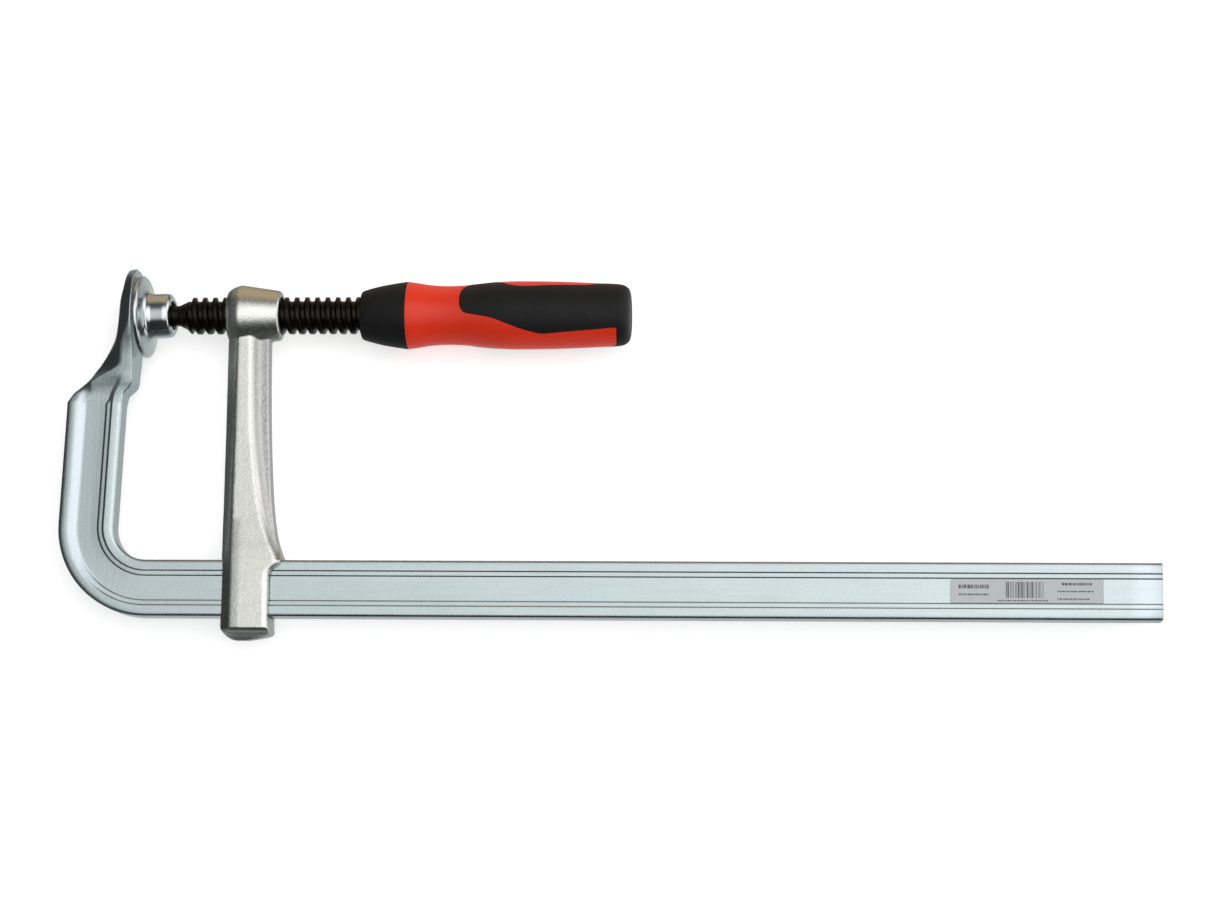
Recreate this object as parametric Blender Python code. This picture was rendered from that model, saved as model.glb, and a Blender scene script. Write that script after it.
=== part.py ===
"""F clamp lying on its side: a fluted rail bent into the fixed jaw, a forged sliding arm, a trapezoidal
spindle with a swivelling pressure plate, and a two-component handle.

Frame: metres. +X runs along the rail and the spindle from the fixed jaw to the handle, +Y from the rail to
the spindle, +Z up. The origin is the centre of the fixed jaw's clamping face."""

import math

import bmesh
import bpy

MM = 0.001
GAP = 0.3 * MM  # between pieces that touch in the real clamp

# Rail and bend
RAIL_WIDTH = 27.0 * MM
RAIL_THICKNESS = 13.0 * MM
RAIL_EDGE_RADIUS = 2.0 * MM
RAIL_INNER_Y = -120.0 * MM
RAIL_END_X = 491.0 * MM
RAIL_END_CHAMFER = 0.8 * MM
FLUTE_OUTER = 8.3 * MM
FLUTE_INNER = 5.9 * MM
FLUTE_DEPTH = 1.0 * MM
BEND_INNER_RADIUS = 16.2 * MM
BEND_CENTRE_X = 9.0 * MM
BEND_ANGLE = math.radians(92.0)
BEND_STEPS = 14
LEG_TOP_Y = -45.0 * MM

# Fixed jaw tip: y, then x and half-width of seven points from the rib behind it to the plate's face, in mm
JAW_SECTIONS = (
    (-42.0, -31.0, 6.2, -26.9, 6.4, -24.0, 5.7, -19.5, 5.6, -11.8, 5.6, -9.6, 6.5, -4.9, 6.5),
    (-39.0, -28.9, 6.0, -26.0, 6.2, -23.4, 5.9, -19.8, 5.8, -10.9, 6.0, -8.8, 6.9, -4.3, 7.0),
    (-36.5, -26.0, 5.5, -24.8, 5.9, -23.0, 6.2, -20.4, 6.6, -9.5, 6.9, -7.5, 7.5, -1.8, 7.6),
    (-34.0, -23.2, 5.0, -22.6, 5.8, -21.9, 6.7, -20.6, 7.6, -8.0, 8.0, -6.0, 8.3, -0.3, 8.4),
    (-31.0, -20.9, 4.4, -19.6, 6.0, -18.2, 7.4, -16.2, 8.8, -7.5, 9.1, -5.0, 9.2, 0.0, 9.2),
    (-28.0, -18.8, 4.2, -16.3, 6.0, -13.4, 8.0, -9.9, 9.9, -6.5, 10.0, -4.0, 10.0, 0.0, 10.0),
    (-25.0, -16.6, 4.0, -13.6, 6.2, -10.2, 8.8, -6.6, 10.8, -5.0, 10.9, -3.0, 10.9, 0.0, 10.9),
    (-20.0, -13.6, 4.2, -11.2, 7.2, -8.6, 10.3, -6.0, 12.3, -4.5, 12.4, -2.5, 12.4, 0.0, 12.4),
    (-15.5, -11.2, 5.0, -9.8, 8.4, -7.9, 11.8, -5.4, 13.9, -4.0, 14.0, -2.2, 14.0, 0.0, 14.0),
    (-11.0, -9.2, 6.2, -8.5, 9.6, -7.2, 12.9, -3.9, 15.6, -3.0, 15.7, -1.9, 15.8, 0.0, 15.8),
    (-5.5, -8.3, 7.0, -7.6, 10.8, -6.5, 14.0, -2.2, 17.3, -1.8, 17.5, -1.4, 17.7, 0.0, 17.7),
    (0.0, -8.0, 7.0, -7.2, 11.2, -6.0, 14.5, -1.7, 18.6, -1.4, 18.8, -1.2, 19.0, 0.0, 19.0),
    (5.0, -7.7, 6.5, -6.9, 11.0, -5.9, 14.3, -1.7, 18.4, -1.4, 18.6, -1.2, 18.8, 0.0, 18.8),
    (8.0, -6.3, 7.5, -6.1, 11.0, -5.7, 13.8, -1.7, 17.8, -1.4, 18.0, -1.2, 18.2, 0.0, 18.2),
    (11.5, -5.6, 7.0, -5.5, 10.0, -5.3, 12.6, -1.7, 16.6, -1.4, 16.8, -1.2, 17.0, 0.0, 17.0),
    (16.5, -5.4, 5.4, -5.3, 7.8, -5.0, 9.9, -1.7, 13.6, -1.4, 13.8, -1.2, 14.0, 0.0, 14.0),
    (20.0, -5.2, 3.6, -5.0, 5.2, -4.6, 6.6, -1.7, 9.4, -1.4, 9.6, -1.2, 9.8, 0.0, 9.8),
    (22.0, -4.7, 1.8, -4.4, 2.8, -4.0, 3.8, -1.7, 5.3, -1.4, 5.4, -1.2, 5.5, -0.2, 5.5),
    (22.8, -3.9, 0.9, -3.6, 1.4, -3.2, 1.8, -2.0, 2.5, -1.8, 2.6, -1.6, 2.7, -0.8, 2.7),
)
JAW_EDGE_RADIUS = 0.9 * MM

# Sliding arm: y, left x, chamfer, flange half-thickness, flange right x, web x, web half-thickness, right x
ARM_SECTIONS = (
    (-4.0, 45.2, 5.4, 8.6, 57.0, 60.4, 4.6, 65.5),
    (-25.0, 45.2, 5.4, 8.6, 57.4, 60.8, 4.6, 65.6),
    (-58.0, 45.4, 5.3, 8.9, 58.7, 62.0, 4.6, 66.7),
    (-83.0, 45.5, 5.2, 9.5, 61.7, 64.9, 4.7, 68.2),
    (-95.0, 45.6, 5.1, 9.9, 63.9, 66.7, 4.8, 69.3),
    (-102.5, 45.6, 5.1, 10.3, 65.8, 68.3, 4.9, 70.3),
    (-109.5, 45.7, 5.0, 10.7, 68.3, 70.1, 5.2, 71.6),
    (-115.5, 45.8, 5.0, 11.2, 71.0, 72.0, 6.0, 73.5),
    (-119.2, 45.8, 5.0, 11.4, 72.4, 73.2, 8.6, 74.7),
    (-121.6, 45.9, 5.0, 11.5, 72.6, 73.2, 10.8, 74.4),
    (-126.6, 46.0, 5.0, 11.5, 68.0, 68.6, 11.0, 69.6),
    (-136.0, 46.0, 5.0, 11.5, 67.7, 68.3, 11.0, 69.3),
    (-151.8, 46.1, 4.9, 11.5, 67.9, 68.5, 11.0, 69.6),
    (-153.0, 46.3, 4.8, 11.4, 68.0, 68.8, 10.9, 70.0),
    (-154.2, 46.8, 4.4, 10.0, 67.8, 68.6, 9.5, 69.9),
    (-155.6, 47.8, 3.8, 6.6, 66.6, 67.6, 6.1, 69.2),
    (-157.1, 49.8, 3.0, 3.4, 62.2, 63.4, 3.0, 65.0),
    (-158.2, 52.6, 1.4, 1.9, 56.6, 57.2, 1.7, 58.8),
)
SLOT_CLEARANCE = 0.4 * MM
BOSS_PROFILE = (
    (44.5, 0.0),
    (44.5, 11.3),
    (45.4, 12.4),
    (47.3, 13.6),
    (51.0, 14.9),
    (69.6, 12.1),
    (70.5, 11.4),
    (70.5, 0.0),
)

# Spindle
THREAD_PITCH = 5.0 * MM
THREAD_CREST_RADIUS = 9.0 * MM
THREAD_ROOT_RADIUS = 7.0 * MM
THREAD_COLUMNS = 20
BALL_CENTRE_X = 11.6 * MM
BALL_RADIUS = 6.2 * MM
NECK_RADIUS = 4.9 * MM
THREAD_START_X = 21.0 * MM
THREAD_END_X = 112.2 * MM
TANG_RADIUS = 6.8 * MM
TANG_HALF_FLAT = 5.6 * MM
TANG_END_X = 205.0 * MM

# Pressure plate and the ring that keeps it on the ball
PLATE_BACK_X = 2.1 * MM
PLATE_RADIUS = 20.0 * MM
SOCKET_RADIUS = 8.0 * MM
SOCKET_FLOOR_X = 5.1 * MM
MOUTH_RADIUS = 6.95 * MM
PLATE_END_X = 17.5 * MM

# Handle
HANDLE_PROFILE = (
    (109.8, 11.0),
    (111.2, 12.1),
    (118.6, 14.1),
    (125.0, 15.3),
    (129.6, 16.0),
    (132.2, 16.3),
    (136.0, 15.9),
    (142.0, 14.9),
    (148.0, 14.4),
    (153.5, 14.3),
    (160.0, 14.6),
    (167.0, 15.3),
    (175.0, 16.1),
    (183.0, 16.5),
    (192.0, 16.5),
    (205.0, 16.3),
    (218.0, 15.8),
    (228.0, 15.3),
    (234.0, 14.9),
    (237.0, 14.2),
    (239.0, 12.6),
    (239.7, 10.6),
)
COLLAR_END_X = 132.0 * MM
NOSE_RADIUS = 10.0 * MM
NOSE_START_X = 112.9 * MM
GRIP_THICKNESS = 2.0 * MM
GRIP_START_X = 158.0 * MM
# The red window under the front panel: x in mm, lower edge and upper edge of the panel in degrees from +Z
GRIP_EDGES = (
    (155.0, 32.0, 18.0),
    (157.5, 18.0, 24.0),
    (158.6, 4.0, 42.0),
    (160.5, -6.0, 60.0),
    (163.0, -9.0, 78.0),
    (167.0, -11.5, 86.0),
    (173.2, -15.7, 83.0),
    (178.0, -21.5, 66.0),
    (182.0, -27.0, 54.0),
    (187.0, -34.0, 49.0),
    (193.0, -41.0, 48.8),
    (198.5, -45.0, 51.0),
    (205.3, -43.0, 53.0),
    (213.0, -41.0, 55.0),
    (219.5, -39.4, 57.5),
    (226.0, -37.8, 70.0),
    (231.0, -36.4, 86.0),
    (232.8, -37.0, 96.0),
    (233.4, -44.0, 108.0),
)
WINDOW_COLUMNS = 14
GRIP_EDGE_STEPS = 3

# Label in the rail's flute
LABEL_START_X = 391.9 * MM
LABEL_END_X = 463.4 * MM
LABEL_HALF_WIDTH = 5.6 * MM
LABEL_THICKNESS = 0.15 * MM

ROUND_SEGMENTS = 48


def clear_scene():
    for obj in list(bpy.data.objects):
        bpy.data.objects.remove(obj, do_unlink=True)


def material(name, colour, roughness, metallic):
    made = bpy.data.materials.new(name)
    made.use_nodes = True
    shader = made.node_tree.nodes["Principled BSDF"]
    shader.inputs["Base Color"].default_value = (*colour, 1.0)
    shader.inputs["Roughness"].default_value = roughness
    shader.inputs["Metallic"].default_value = metallic
    made.diffuse_color = (*colour, 1.0)
    return made


def mesh_object(name, vertices, faces, surface=None, smooth_deg=None):
    """A new object from vertices and faces, with its normals pointing outwards."""
    data = bpy.data.meshes.new(name)
    data.from_pydata(vertices, [], faces)
    edit = bmesh.new()
    edit.from_mesh(data)
    bmesh.ops.recalc_face_normals(edit, faces=edit.faces)
    edit.to_mesh(data)
    edit.free()
    obj = bpy.data.objects.new(name, data)
    bpy.context.scene.collection.objects.link(obj)
    if surface:
        data.materials.append(surface)
    if smooth_deg:
        shade_smooth(obj, smooth_deg)
    return obj


def shade_smooth(obj, angle_deg):
    for polygon in obj.data.polygons:
        polygon.use_smooth = True
    obj.data.set_sharp_from_angle(angle=math.radians(angle_deg))


def loft(name, loops, surface=None, smooth_deg=None):
    """Skin loops that have the same number of points, and cap both ends."""
    count = len(loops[0])
    vertices = [point for loop in loops for point in loop]
    faces = []
    for row in range(len(loops) - 1):
        for i in range(count):
            j = (i + 1) % count
            faces.append((row * count + i, row * count + j, (row + 1) * count + j, (row + 1) * count + i))
    faces.append(tuple(reversed(range(count))))
    faces.append(tuple(range((len(loops) - 1) * count, len(loops) * count)))
    return mesh_object(name, vertices, faces, surface, smooth_deg)


def lathe(name, profile, surface=None, segments=ROUND_SEGMENTS, smooth_deg=35.0):
    """Turn a profile of (x, radius) about X. It is closed on the axis where its ends have no radius,
    and closed on itself where they do."""
    vertices = []
    rings = []
    for x, radius in profile:
        if radius < 1e-9:
            rings.append([len(vertices)])
            vertices.append((x, 0.0, 0.0))
            continue
        rings.append(list(range(len(vertices), len(vertices) + segments)))
        for i in range(segments):
            turn = 2.0 * math.pi * i / segments
            vertices.append((x, radius * math.cos(turn), radius * math.sin(turn)))
    pairs = list(zip(rings, rings[1:]))
    if len(rings[0]) > 1:
        pairs.append((rings[-1], rings[0]))
    faces = []
    for a, b in pairs:
        for i in range(segments):
            j = (i + 1) % segments
            if len(a) > 1 and len(b) > 1:
                faces.append((a[i], a[j], b[j], b[i]))
            elif len(b) > 1:
                faces.append((a[0], b[j], b[i]))
            elif len(a) > 1:
                faces.append((a[i], a[j], b[0]))
    return mesh_object(name, vertices, faces, surface, smooth_deg)


def box(name, low, high, surface=None):
    corners = [(x, y, z) for x in (low[0], high[0]) for y in (low[1], high[1]) for z in (low[2], high[2])]
    faces = [(0, 1, 3, 2), (4, 6, 7, 5), (0, 4, 5, 1), (2, 3, 7, 6), (0, 2, 6, 4), (1, 5, 7, 3)]
    return mesh_object(name, corners, faces, surface)


def combine(target, other, operation):
    """Apply a Boolean to target and remove the other object."""
    modifier = target.modifiers.new(operation.title(), "BOOLEAN")
    modifier.operation = operation
    modifier.solver = "EXACT"
    modifier.object = other
    other.hide_render = True
    other.display_type = "WIRE"
    graph = bpy.context.evaluated_depsgraph_get()
    made = bpy.data.meshes.new_from_object(target.evaluated_get(graph))
    target.modifiers.clear()
    old = target.data
    target.data = made
    made.name = target.name
    bpy.data.meshes.remove(old)
    bpy.data.objects.remove(other, do_unlink=True)


def set_origin(obj, point):
    """Move the object's origin without moving its shape."""
    for vertex in obj.data.vertices:
        vertex.co -= obj.matrix_world.inverted() @ vertex.co.__class__(point)
    obj.location = point


def in_metres(pairs):
    return [tuple(value * MM for value in pair) for pair in pairs]


def radius_at(x):
    """The handle's outer radius at x, from its profile."""
    points = in_metres(HANDLE_PROFILE)
    for (x0, r0), (x1, r1) in zip(points, points[1:]):
        if x <= x1:
            share = max(0.0, (x - x0) / (x1 - x0))
            return r0 + share * (r1 - r0)
    return points[-1][1]


# ---------------------------------------------------------------- rail and fixed jaw


def rail_section():
    """Half of the fluted section as (across, up): the up > 0 side, from the outer to the inner edge."""
    half_w = RAIL_WIDTH / 2
    half_t = RAIL_THICKNESS / 2
    r = RAIL_EDGE_RADIUS
    outer = [
        (-half_w, half_t - r),
        (-half_w + 0.29 * r, half_t - 0.29 * r),
        (-half_w + r, half_t),
    ]
    flute = [
        (-FLUTE_OUTER, half_t),
        (-FLUTE_INNER, half_t - FLUTE_DEPTH),
        (0.0, half_t - FLUTE_DEPTH),
        (FLUTE_INNER, half_t - FLUTE_DEPTH),
        (FLUTE_OUTER, half_t),
    ]
    inner = [(-across, up) for across, up in reversed(outer)]
    return outer + flute + inner


def jaw_half_section(points):
    """The same eleven points on the forged tip: from the rib behind, over its shoulder, to the front face."""
    (back, rib), *rest, (front, width) = points
    r = min(JAW_EDGE_RADIUS, 0.4 * width)
    s = min(JAW_EDGE_RADIUS, 0.4 * rib)
    return [
        (back, rib - s),
        (back + 0.1 * s, rib - 0.4 * s),
        (back + 0.25 * s, rib),
        *rest,
        (front - r, width),
        (front - 0.3 * r, width - 0.3 * r),
        (front, width - r),
    ]


def mirrored(half):
    return half + [(a, -b) for a, b in reversed(half)]


def make_rail(surface):
    section = mirrored(rail_section())
    centre_y = RAIL_INNER_Y - RAIL_WIDTH / 2
    shrink = 1.0 - 2.0 * RAIL_END_CHAMFER / RAIL_WIDTH
    loops = [
        [(RAIL_END_X, centre_y + across * shrink, up * 0.9) for across, up in section],
        [(RAIL_END_X - RAIL_END_CHAMFER, centre_y + across, up) for across, up in section],
        [(0.25, centre_y + across, up) for across, up in section],
    ]
    bend_radius = BEND_INNER_RADIUS + RAIL_WIDTH / 2
    bend_y = RAIL_INNER_Y + BEND_INNER_RADIUS
    for step in range(BEND_STEPS + 1):
        turn = BEND_ANGLE * step / BEND_STEPS
        loops.append(
            [
                (
                    BEND_CENTRE_X - (bend_radius - across) * math.sin(turn),
                    bend_y - (bend_radius - across) * math.cos(turn),
                    up,
                )
                for across, up in section
            ]
        )
    rise = LEG_TOP_Y - bend_y
    along = (-math.cos(BEND_ANGLE), math.sin(BEND_ANGLE))
    last = loops[-1]
    loops.append([(x + along[0] * rise, y + along[1] * rise, z) for x, y, z in last])
    for y, *values in JAW_SECTIONS:
        half = jaw_half_section([(x * MM, z * MM) for x, z in zip(values[::2], values[1::2])])
        loops.append([(x, y * MM, z) for x, z in mirrored(half)])
    return loft("rail_and_fixed_jaw", loops, surface, 30.0)


# ---------------------------------------------------------------- sliding arm


def arm_loop(y, left, chamfer, flange, flange_x, web_x, web, right):
    lead = min(chamfer, 0.62 * flange)
    half = [
        (left, flange - lead - 0.6),
        (left + 0.5, flange - lead),
        (left + chamfer - 0.5, flange - 0.3),
        (left + chamfer, flange),
        (flange_x, flange),
        (flange_x + 0.45 * (web_x - flange_x), flange - 0.65 * (flange - web)),
        (web_x, web),
        (right - 1.2, web),
        (right, web - 1.2),
    ]
    return [(x * MM, y * MM, z * MM) for x, z in mirrored(half)]


def make_arm(surface):
    arm = loft("sliding_arm", [arm_loop(*row) for row in ARM_SECTIONS], surface)
    combine(arm, lathe("boss", in_metres(BOSS_PROFILE), surface), "UNION")
    bore = THREAD_CREST_RADIUS + GAP
    combine(arm, lathe("bore", [(0.03, 0.0), (0.03, bore), (0.09, bore), (0.09, 0.0)]), "DIFFERENCE")
    side = RAIL_THICKNESS / 2 + SLOT_CLEARANCE
    low = (0.03, RAIL_INNER_Y - RAIL_WIDTH - SLOT_CLEARANCE, -side)
    high = (0.09, RAIL_INNER_Y + SLOT_CLEARANCE, side)
    combine(arm, box("slot", low, high), "DIFFERENCE")
    shade_smooth(arm, 28.0)
    set_origin(arm, (0.0575, 0.0, 0.0))
    return arm


# ---------------------------------------------------------------- spindle


def helix_solid(name, start, end, surface):
    """A right-hand trapezoidal screw from start to end, closed by a cone on the axis at each end."""
    root, crest = THREAD_ROOT_RADIUS, THREAD_CREST_RADIUS
    profile = ((0.0, root), (0.34, root), (0.5, crest), (0.82, crest))
    turns = math.ceil((end - start) / THREAD_PITCH)
    rows = turns * len(profile)
    vertices = []
    for row in range(rows + 1 + len(profile)):
        share, radius = profile[row % len(profile)]
        lead = row // len(profile) + share
        for i in range(THREAD_COLUMNS):
            around = i / THREAD_COLUMNS
            turn = 2.0 * math.pi * around
            x = start + THREAD_PITCH * (lead + around)
            vertices.append((x, radius * math.cos(turn), radius * math.sin(turn)))
    step = THREAD_COLUMNS * len(profile)
    faces = []
    for row in range(rows):
        for i in range(THREAD_COLUMNS):
            a = row * THREAD_COLUMNS + i
            b = a + 1
            if i == THREAD_COLUMNS - 1:
                b = a + 1 - THREAD_COLUMNS + step
            faces.append((a, b, b + THREAD_COLUMNS, a + THREAD_COLUMNS))
    for row, x in ((0, start - 0.001), (rows, start + THREAD_PITCH * (turns + 1) + 0.001)):
        pole = len(vertices)
        vertices.append((x, 0.0, 0.0))
        first = row * THREAD_COLUMNS
        rim = [first + i for i in range(THREAD_COLUMNS)]
        rim += [first + THREAD_COLUMNS * k for k in range(len(profile), 0, -1)]
        for a, b in zip(rim, rim[1:] + rim[:1]):
            faces.append((a, b, pole))
    return mesh_object(name, vertices, faces, surface)


def make_spindle(surface):
    thread = helix_solid("spindle", THREAD_START_X - 0.012, THREAD_END_X + 0.012, surface)
    envelope = [
        (THREAD_START_X, 0.0),
        (THREAD_START_X, 5.2 * MM),
        (THREAD_START_X + 3.2 * MM, 6.7 * MM),
        (THREAD_START_X + 5.4 * MM, THREAD_CREST_RADIUS + 0.2 * MM),
        (THREAD_END_X - 2.0 * MM, THREAD_CREST_RADIUS + 0.2 * MM),
        (THREAD_END_X, THREAD_ROOT_RADIUS + 0.2 * MM),
        (THREAD_END_X, 0.0),
    ]
    combine(thread, lathe("envelope", envelope, surface, 40), "INTERSECT")
    ball = [(BALL_CENTRE_X - BALL_RADIUS, 0.0)]
    meet = math.asin(NECK_RADIUS / BALL_RADIUS)
    for step in range(1, 11):
        turn = (math.pi - meet) * step / 10
        ball.append((BALL_CENTRE_X - BALL_RADIUS * math.cos(turn), BALL_RADIUS * math.sin(turn)))
    core = ball + [
        (THREAD_START_X - 0.6 * MM, NECK_RADIUS),
        (THREAD_START_X + 0.4 * MM, 5.25 * MM),
        (THREAD_START_X + 3.4 * MM, 6.6 * MM),
        (THREAD_START_X + 4.2 * MM, THREAD_ROOT_RADIUS - 0.1 * MM),
        (THREAD_END_X - 1.0 * MM, THREAD_ROOT_RADIUS - 0.1 * MM),
        (THREAD_END_X + 0.2 * MM, TANG_RADIUS),
        (TANG_END_X - 1.0 * MM, TANG_RADIUS),
        (TANG_END_X, TANG_RADIUS - 1.0 * MM),
        (TANG_END_X, 0.0),
    ]
    shank = lathe("shank", core, surface, 40)
    for side in (-1, 1):
        low = (0.125, min(side * TANG_HALF_FLAT, side * 0.02), -0.02)
        high = (0.25, max(side * TANG_HALF_FLAT, side * 0.02), 0.02)
        combine(shank, box("flat", low, high), "DIFFERENCE")
    combine(thread, shank, "UNION")
    shade_smooth(thread, 25.0)
    set_origin(thread, (BALL_CENTRE_X, 0.0, 0.0))
    return thread


# ---------------------------------------------------------------- pressure plate


def arc(centre, radius, start_deg, end_deg, steps):
    """Points of (x, radius) on an arc about a point on the axis; 0 degrees points along +X."""
    points = []
    for step in range(steps + 1):
        turn = math.radians(start_deg + (end_deg - start_deg) * step / steps)
        points.append((centre + radius * math.cos(turn), radius * math.sin(turn)))
    return points


def make_plate(surface):
    mouth_deg = math.degrees(math.asin(MOUTH_RADIUS / SOCKET_RADIUS))
    outside = in_metres(
        (
            (3.9, 20.0),
            (4.3, 19.6),
            (5.0, 15.5),
            (5.6, 12.9),
            (6.6, 11.5),
            (8.4, 10.8),
            (14.8, 10.8),
            (16.3, 10.5),
            (17.2, 9.6),
        )
    )
    edge = 0.6 * MM
    profile = [(PLATE_BACK_X, 0.0), (PLATE_BACK_X, PLATE_RADIUS - edge), (PLATE_BACK_X + edge, PLATE_RADIUS)]
    profile += outside
    edge = 0.3 * MM
    profile += [(PLATE_END_X, 8.6 * MM), (PLATE_END_X, MOUTH_RADIUS + edge)]
    profile += [(PLATE_END_X - edge, MOUTH_RADIUS)]
    profile += arc(BALL_CENTRE_X, SOCKET_RADIUS, mouth_deg, 90.0, 4)
    profile += [
        (SOCKET_FLOOR_X + 0.6 * MM, SOCKET_RADIUS),
        (SOCKET_FLOOR_X, SOCKET_RADIUS - 0.6 * MM),
        (SOCKET_FLOOR_X, 0.0),
    ]
    plate = lathe("pressure_plate", profile, surface)
    set_origin(plate, (BALL_CENTRE_X, 0.0, 0.0))
    return plate


def make_ring(surface):
    outer = arc(BALL_CENTRE_X, SOCKET_RADIUS - GAP, 85.0, 56.0, 5)
    inner = arc(BALL_CENTRE_X, BALL_RADIUS + GAP, 57.0, 84.0, 5)
    bore = inner[0][1]
    profile = outer + [(BALL_CENTRE_X + 4.4 * MM, 6.2 * MM), (BALL_CENTRE_X + 4.4 * MM, bore)] + inner
    ring = lathe("retaining_ring", profile, surface)
    set_origin(ring, (BALL_CENTRE_X, 0.0, 0.0))
    return ring


# ---------------------------------------------------------------- handle


def handle_points(start, end):
    """The handle's outer profile between two x positions."""
    inside = [p for p in in_metres(HANDLE_PROFILE) if start + 0.2 * MM < p[0] < end - 0.2 * MM]
    return [(start, radius_at(start)), *inside, (end, radius_at(end))]


def refined(rows, steps):
    """Rows of numbers with smooth Catmull-Rom rows between them."""
    padded = [rows[0], *rows, rows[-1]]
    made = []
    for before, a, b, after in zip(padded, padded[1:], padded[2:], padded[3:]):
        for step in range(steps):
            t = step / steps
            made.append(
                tuple(
                    q + 0.5 * t * (r - p + t * (2 * p - 5 * q + 4 * r - s + t * (3 * (q - r) + s - p)))
                    for p, q, r, s in zip(before, a, b, after)
                )
            )
    made.append(rows[-1])
    return made


def window(name, half_turn, slack):
    """The space of one red window: a ring segment between the two grip panels, smaller by the slack."""
    shift = math.degrees(1.4 * slack / radius_at(0.19))
    rows = []
    for x_mm, lower, upper in refined(GRIP_EDGES, GRIP_EDGE_STEPS):
        x = x_mm * MM
        if x_mm < 168.0 or x_mm > 230.0:
            x -= 1.2 * slack
        first = upper - 180.0 + shift
        last = lower - shift
        row = []
        for radius in (radius_at(x) - 5.0 * MM, radius_at(x) + 3.0 * MM):
            ring = []
            for i in range(WINDOW_COLUMNS + 1):
                turn = math.radians(first + (last - first) * i / WINDOW_COLUMNS + half_turn)
                ring.append((x, radius * math.sin(turn), radius * math.cos(turn)))
            row.append(ring)
        rows.append(row[0] + list(reversed(row[1])))
    return loft(name, rows)


def make_sleeve(name, thickness, outset, slack, surface=None):
    """The grip before or after its clearance: a closed sleeve with the two red windows cut out."""
    start = GRIP_START_X - slack
    outer = [(x, r + outset) for x, r in handle_points(start, HANDLE_PROFILE[-1][0] * MM)]
    end = outer[-1][0]
    inner = [(x, r - thickness) for x, r in handle_points(start, 0.2365)]
    floor = end - thickness
    profile = outer + [(end + outset, outer[-1][1] * 0.5), (end + outset, 0.0), (floor, 0.0)]
    profile += [(floor, 0.0105 - (thickness - GRIP_THICKNESS))]
    profile += list(reversed(inner))
    first = profile.index((end + outset, 0.0))
    profile = profile[first + 1 :] + profile[: first + 1]
    sleeve = lathe(name, profile, surface)
    for half_turn in (0.0, 180.0):
        combine(sleeve, window("window", half_turn, slack), "DIFFERENCE")
    return sleeve


def make_grip(surface):
    grip = make_sleeve("handle_grip", GRIP_THICKNESS, 0.0, 0.0, surface)
    shade_smooth(grip, 35.0)
    set_origin(grip, (0.2, 0.0, 0.0))
    return grip


def make_core(surface):
    body = handle_points(COLLAR_END_X + GAP, 0.2385)
    edge = 0.5 * MM
    profile = [(NOSE_START_X, 0.0), (NOSE_START_X, NOSE_RADIUS - edge), (NOSE_START_X + edge, NOSE_RADIUS)]
    profile += [(COLLAR_END_X + GAP, NOSE_RADIUS), *body, (0.2385, 0.0)]
    core = lathe("handle_core", profile, surface)
    combine(core, make_sleeve("recess", GRIP_THICKNESS + GAP, 1.0 * MM, GAP), "DIFFERENCE")
    bore = TANG_RADIUS + GAP
    deep = TANG_END_X + GAP
    socket = lathe("socket", [(0.1, 0.0), (0.1, bore), (deep, bore), (deep, 0.0)], None, 40)
    for side in (-1, 1):
        flat = TANG_HALF_FLAT + GAP
        low = (0.125 + GAP, min(side * flat, side * 0.02), -0.02)
        high = (0.25, max(side * flat, side * 0.02), 0.02)
        combine(socket, box("flat", low, high), "DIFFERENCE")
    combine(core, socket, "DIFFERENCE")
    shade_smooth(core, 35.0)
    set_origin(core, (0.17, 0.0, 0.0))
    return core


def make_front_collar(surface):
    start = HANDLE_PROFILE[0][0] * MM
    hole = THREAD_CREST_RADIUS + GAP
    profile = [(start, hole + 0.4 * MM), *handle_points(start, COLLAR_END_X)]
    profile += [
        (COLLAR_END_X, NOSE_RADIUS + GAP),
        (NOSE_START_X - 0.5 * MM, NOSE_RADIUS + GAP),
        (NOSE_START_X - 0.5 * MM, hole),
        (start + 0.4 * MM, hole),
    ]
    collar = lathe("handle_front_collar", profile, surface)
    set_origin(collar, (0.12, 0.0, 0.0))
    return collar


def make_label(surface):
    centre = RAIL_INNER_Y - RAIL_WIDTH / 2
    bottom = RAIL_THICKNESS / 2 - FLUTE_DEPTH + GAP
    low = (LABEL_START_X, centre - LABEL_HALF_WIDTH, bottom)
    high = (LABEL_END_X, centre + LABEL_HALF_WIDTH, bottom + LABEL_THICKNESS)
    return box("rail_label", low, high, surface)


def main():
    clear_scene()
    zinc = material("zinc_plated_rail", (0.60, 0.65, 0.67), 0.32, 0.9)
    forging = material("zinc_plated_forging", (0.62, 0.62, 0.60), 0.42, 0.9)
    oxide = material("black_oxide", (0.02, 0.018, 0.016), 0.35, 0.7)
    bright = material("bright_zinc", (0.72, 0.75, 0.77), 0.18, 1.0)
    spring = material("spring_steel", (0.30, 0.30, 0.31), 0.35, 1.0)
    red = material("red_handle_plastic", (0.68, 0.03, 0.012), 0.42, 0.0)
    black = material("black_soft_grip", (0.012, 0.012, 0.012), 0.6, 0.0)
    foil = material("label_foil", (0.55, 0.55, 0.56), 0.5, 0.0)
    make_rail(zinc)
    make_arm(forging)
    make_spindle(oxide)
    make_plate(bright)
    make_ring(spring)
    make_core(red)
    make_grip(black)
    make_front_collar(black)
    make_label(foil)


main()
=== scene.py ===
"""Looks of the F clamp: detailed replacements for every CAD node, procedural materials, floor, light, camera.

Metres. +X runs along the rail from the fixed jaw, +Y from the rail to the spindle, +Z up."""

import math
import random

import bmesh
import bpy
from mathutils import Matrix, Vector


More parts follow.
